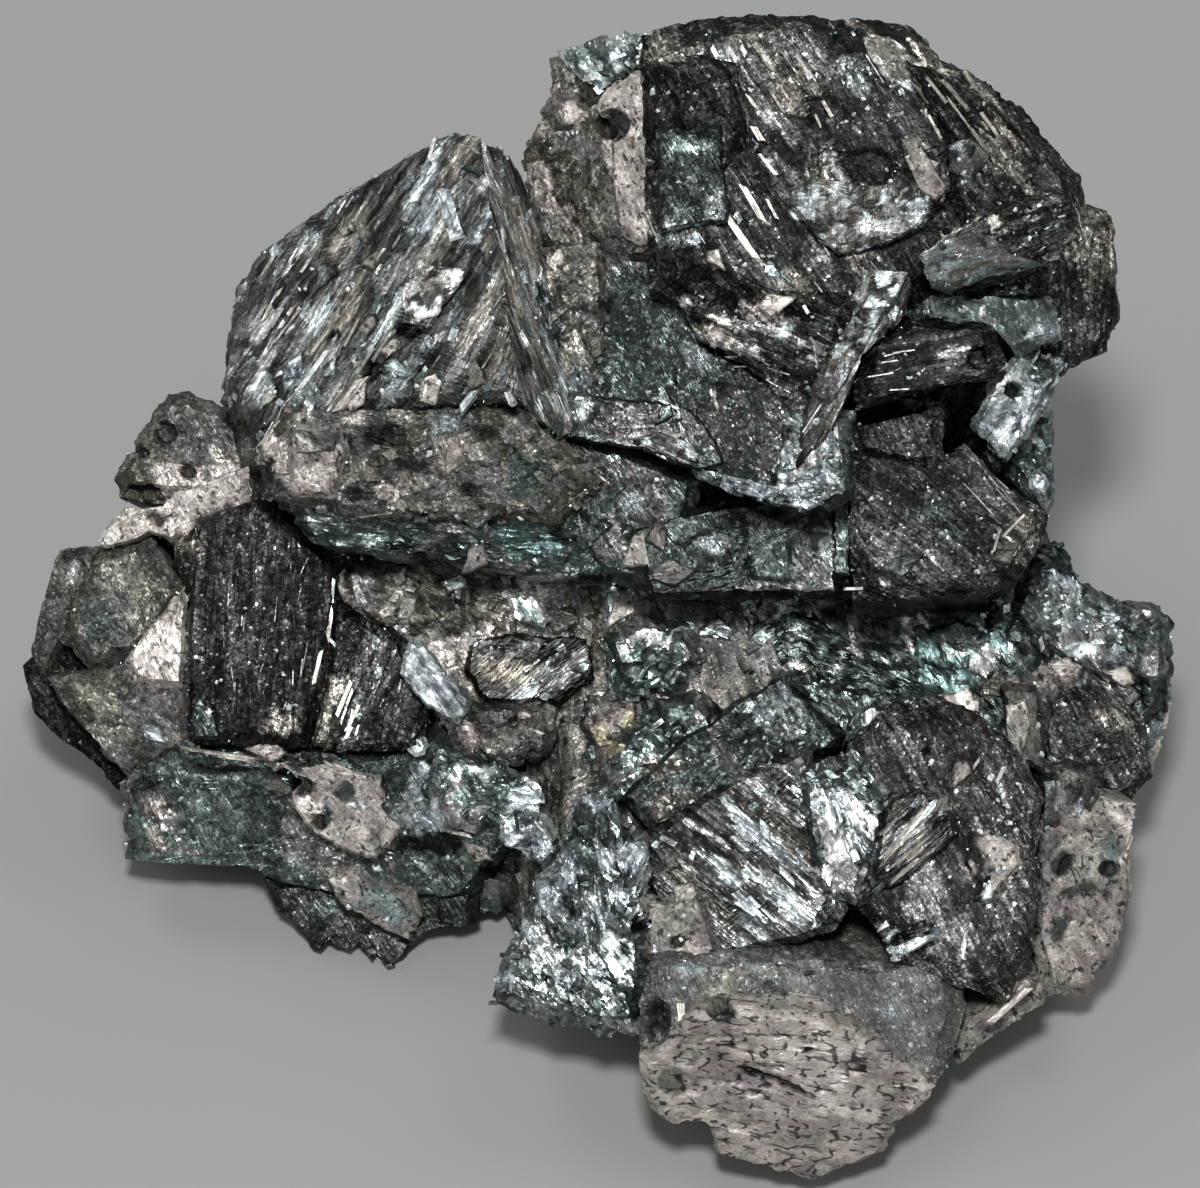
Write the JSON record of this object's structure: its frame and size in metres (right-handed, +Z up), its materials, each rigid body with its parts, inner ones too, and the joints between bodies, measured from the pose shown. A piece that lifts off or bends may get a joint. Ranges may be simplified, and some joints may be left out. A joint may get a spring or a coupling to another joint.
{
  "type": "arsenopyrite specimen",
  "caption": "Cluster of intergrown metallic grey-black arsenopyrite crystals on its matrix, with striated wedge and blocky faces, resting on a flat broken base.",
  "frame": {"origin": "middle of the object's box, on the surface that it rests on", "axes": "+Z up, +X to the right seen from the display side, +Y away from the viewer; the display side faces -Y and upwards"},
  "size_m": [0.1162, 0.1064, 0.0761],
  "materials": {
    "arsenopyrite": "metallic steel-grey to black crystal faces, striated and drusy, with teal and pinkish tarnish, brown matrix and a few brassy specks"
  },
  "bodies": {
    "root": {"arsenopyrite_cluster": "arsenopyrite"}
  },
  "joints": []
}
